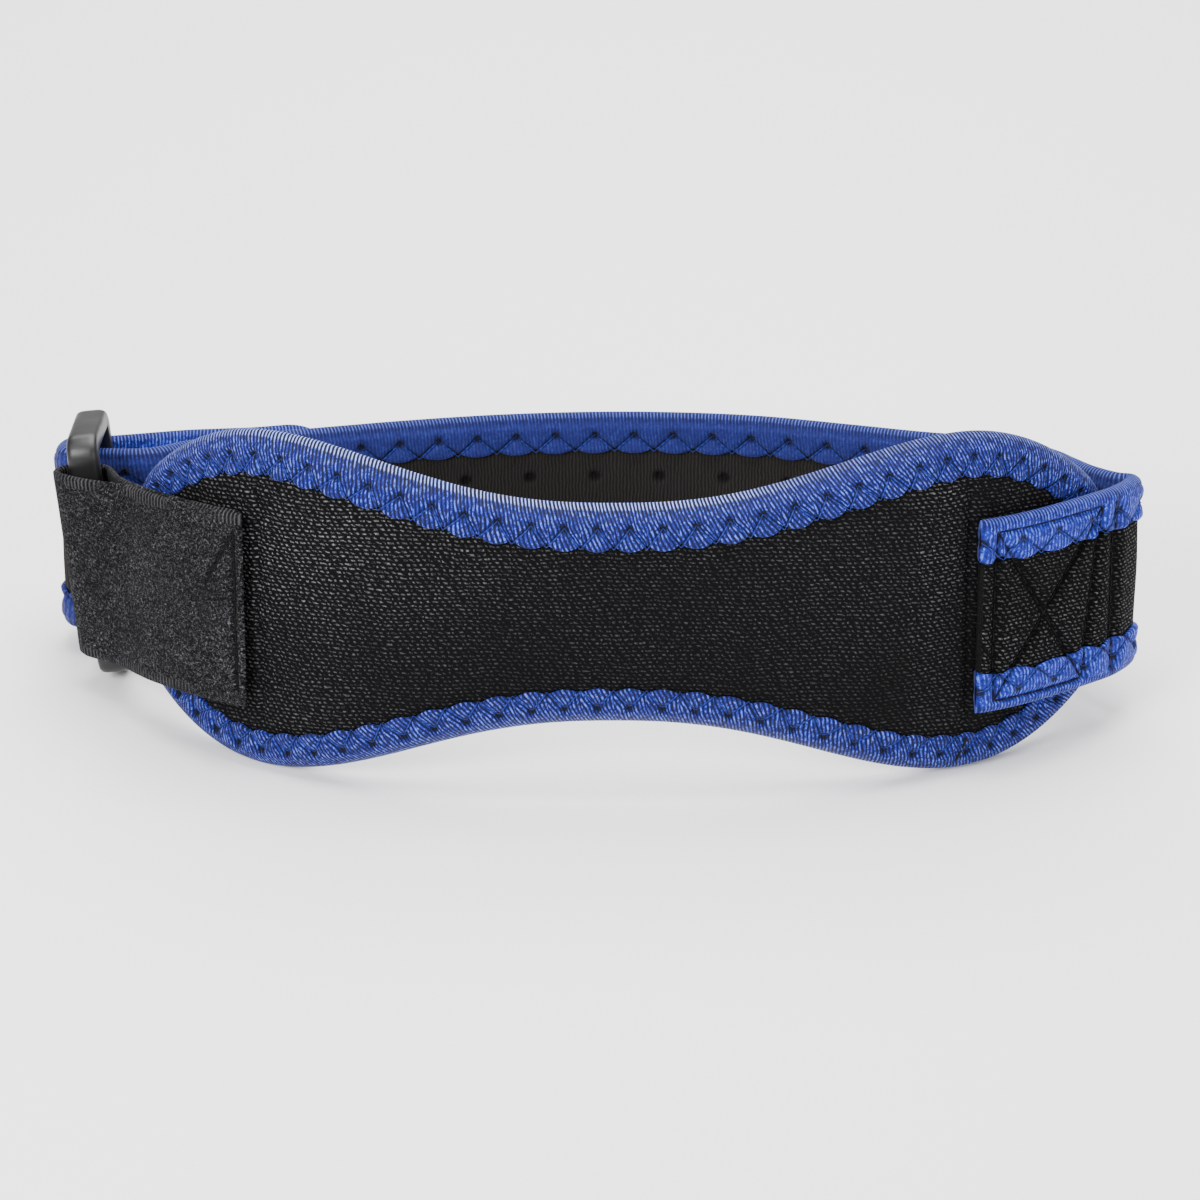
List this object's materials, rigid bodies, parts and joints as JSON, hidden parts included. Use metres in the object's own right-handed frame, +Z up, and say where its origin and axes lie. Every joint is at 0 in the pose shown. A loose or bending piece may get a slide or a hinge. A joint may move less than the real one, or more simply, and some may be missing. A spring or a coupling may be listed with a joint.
{
  "type": "patella strap",
  "caption": "Padded dog-bone knee strap with ribbed edging, an adjustable rear strap and a slim plastic ring.",
  "frame": {"origin": "centre of the bounding box in plan, on the table that the strap rests on", "axes": "+X to the right along the front pad, +Y from the pad to the back of the loop, +Z up"},
  "size_m": [0.251, 0.103, 0.0772],
  "materials": {
    "knit_fabric": "ribbed knit, soft sheen",
    "strap_fabric": "ribbed knit, matte",
    "edging_tape": "ribbed elastic tape, soft sheen",
    "loop_tape": "brushed loop pile",
    "hook_tape": "fine hooks",
    "ring_plastic": "satin"
  },
  "bodies": {
    "root": {"pad_body": "knit_fabric", "pad_binding": "edging_tape", "strap_body": "strap_fabric", "strap_binding_upper": "edging_tape", "strap_binding_lower": "edging_tape", "ring_tab": "loop_tape", "hook_patch": "hook_tape", "ring": "ring_plastic"}
  },
  "joints": []
}
